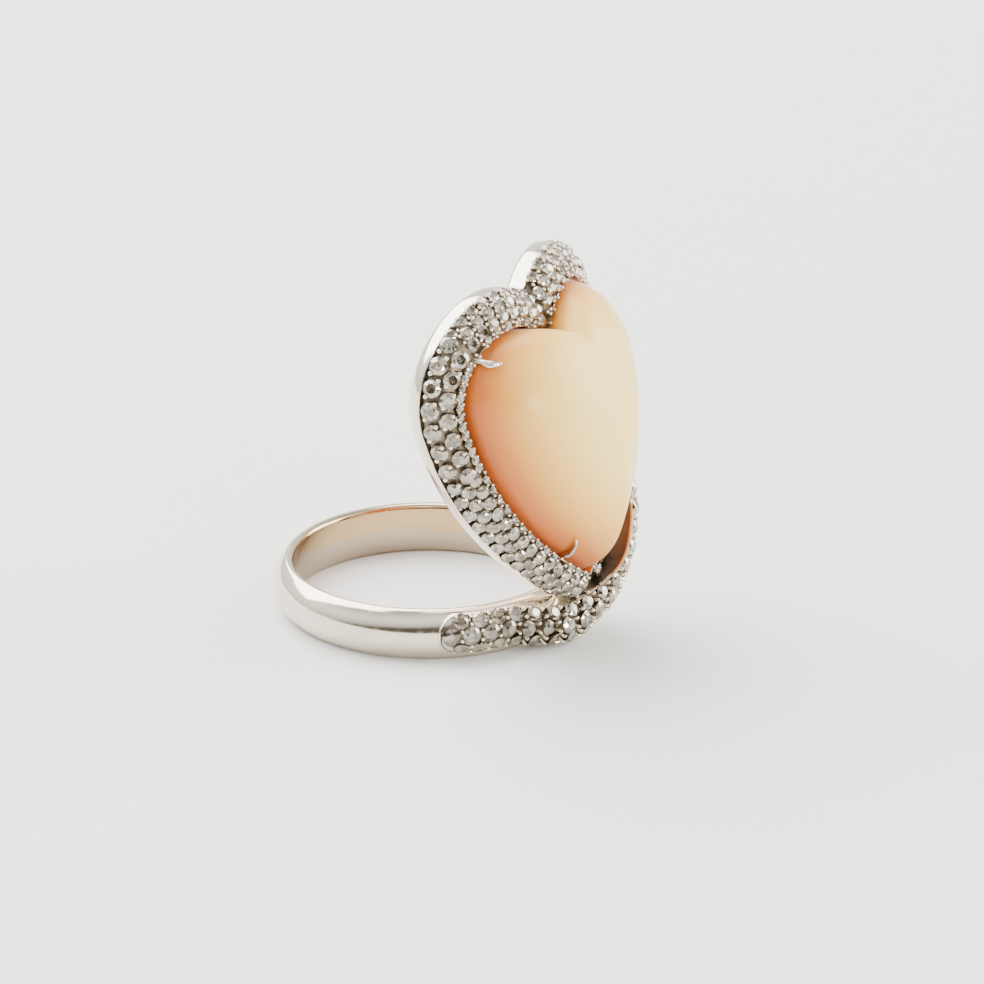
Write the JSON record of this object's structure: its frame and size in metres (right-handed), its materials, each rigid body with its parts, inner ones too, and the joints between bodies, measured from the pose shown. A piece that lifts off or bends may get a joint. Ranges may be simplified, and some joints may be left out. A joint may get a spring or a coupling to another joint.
{
  "type": "heart ring",
  "caption": "Ring lying flat: a plain D-section band whose shoulder crosses the tip of a bent heart frame set with small stones round a domed heart stone.",
  "frame": {"origin": "centre of the band's lower rim, on the surface that the ring lies on", "axes": "+Z along the finger hole, up; +X from the finger hole towards the heart; +Y completes the right hand"},
  "size_m": [0.0248, 0.0216, 0.0252],
  "materials": {
    "white_gold": "polished white gold",
    "heart_stone": "polished peach shell",
    "small_stones": "cut clear stones"
  },
  "bodies": {
    "root": {"setting": "white_gold", "heart_stone": "heart_stone", "heart_pave": "small_stones", "ribbon_pave": "small_stones"}
  },
  "joints": []
}
